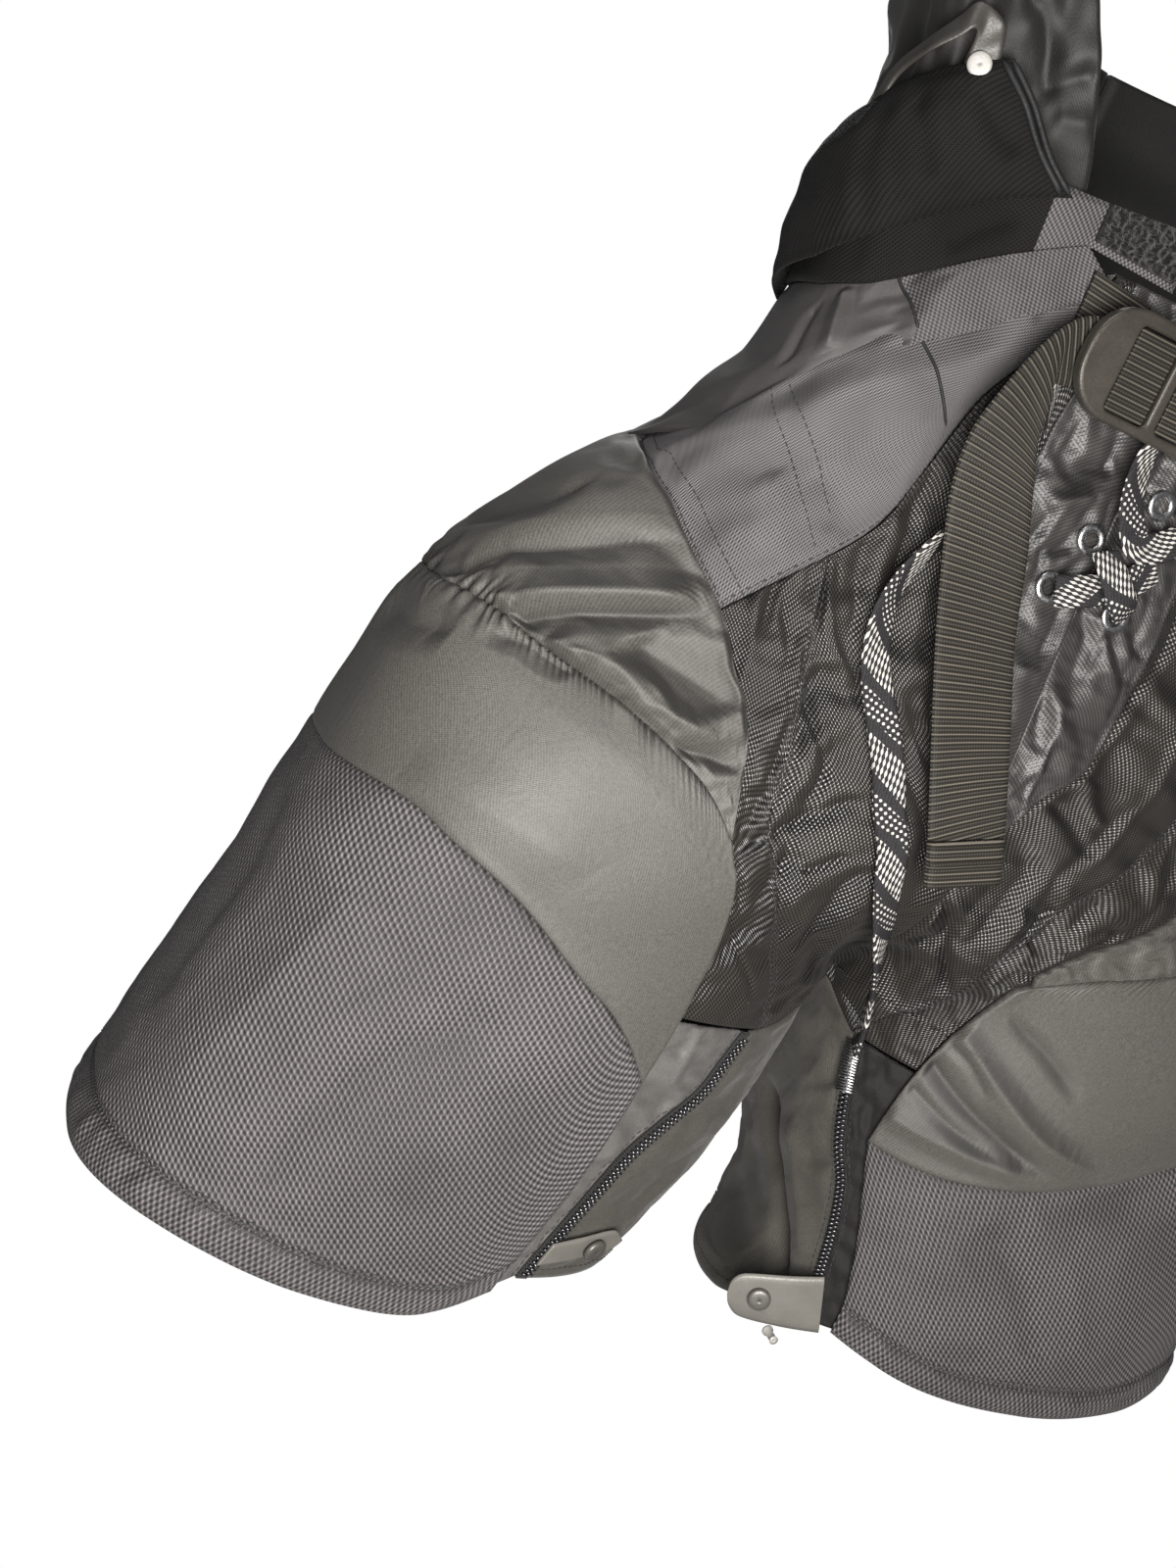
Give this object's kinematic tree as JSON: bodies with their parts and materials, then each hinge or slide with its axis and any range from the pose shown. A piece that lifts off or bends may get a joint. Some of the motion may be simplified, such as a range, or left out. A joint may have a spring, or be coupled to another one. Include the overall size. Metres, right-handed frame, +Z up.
{
  "type": "padded hockey shorts",
  "caption": "Child's padded ice-hockey shorts, open at waist and legs, with hip flaps, tall kidney pads, laced fly, buckled belt and zipped inner thighs.",
  "frame": {"origin": "middle of the waist opening, level with the waistband's upper edge", "axes": "+Z up along the body, -Y to the front, -X to the wearer's right"},
  "size_m": [0.4269, 0.1739, 0.4577],
  "materials": {
    "coarse_weave": "coarse open-textured weave, matte",
    "nylon": "fine plain-weave nylon, slight sheen",
    "oxford": "heavy plain weave, matte",
    "satin": "satin, soft sheen",
    "black_weave": "close twill, matte",
    "mesh": "fine shiny mesh",
    "stretch": "stretch knit, matte",
    "webbing": "ribbed webbing",
    "lace": "flat braid, dark with pale flecks",
    "vinyl": "smooth coated cloth",
    "hook_fuzz": "hook-and-loop pile",
    "buckle_plastic": "moulded, satin",
    "zip_tape": "moulded teeth on woven tape",
    "metal": "bright plated"
  },
  "bodies": {
    "root": {"back_thigh_left": "stretch", "back_thigh_right": "stretch", "belt_right": "webbing", "belt_wrap_left": "webbing", "belt_wrap_right": "webbing", "buckle": "buckle_plastic", "eyelet_left_high": "metal", "eyelet_left_low": "metal", "eyelet_right_high": "metal", "eyelet_right_low": "metal", "flap_loop_left": "vinyl", "flap_loop_right": "vinyl", "fly_left": "nylon", "fly_right": "nylon", "front_mesh_left": "mesh", "front_mesh_right": "mesh", "gusset_left": "stretch", "gusset_right": "stretch", "hem_band_left": "coarse_weave", "hem_band_right": "coarse_weave", "hem_tab_left": "vinyl", "hem_tab_right": "vinyl", "hip_flap_left": "black_weave", "hip_flap_right": "black_weave", "hook_patch_right": "hook_fuzz", "kidney_pad_left": "nylon", "kidney_pad_right": "nylon", "lace_cross": "lace", "lace_end": "lace", "lace_high": "lace", "lace_low": "lace", "loop_snap_left": "metal", "loop_snap_right": "metal", "lower_puff_left": "nylon", "lower_puff_right": "nylon", "mesh_strip_left": "mesh", "mesh_strip_right": "mesh", "seat_left": "black_weave", "seat_right": "black_weave", "side_facing_left": "satin", "side_facing_right": "satin", "strap": "webbing", "strap_end": "webbing", "tab_snap_left": "metal", "tab_snap_right": "metal", "tab_stud": "metal", "thigh_panel_left": "coarse_weave", "thigh_panel_right": "coarse_weave", "upper_puff_left": "nylon", "upper_puff_right": "nylon", "waist_panel_left": "satin", "waist_panel_right": "satin", "waistband_left": "black_weave", "waistband_right": "black_weave", "yoke_left": "oxford", "yoke_right": "oxford", "zip_left": "zip_tape", "zip_right": "zip_tape"}
  },
  "joints": []
}
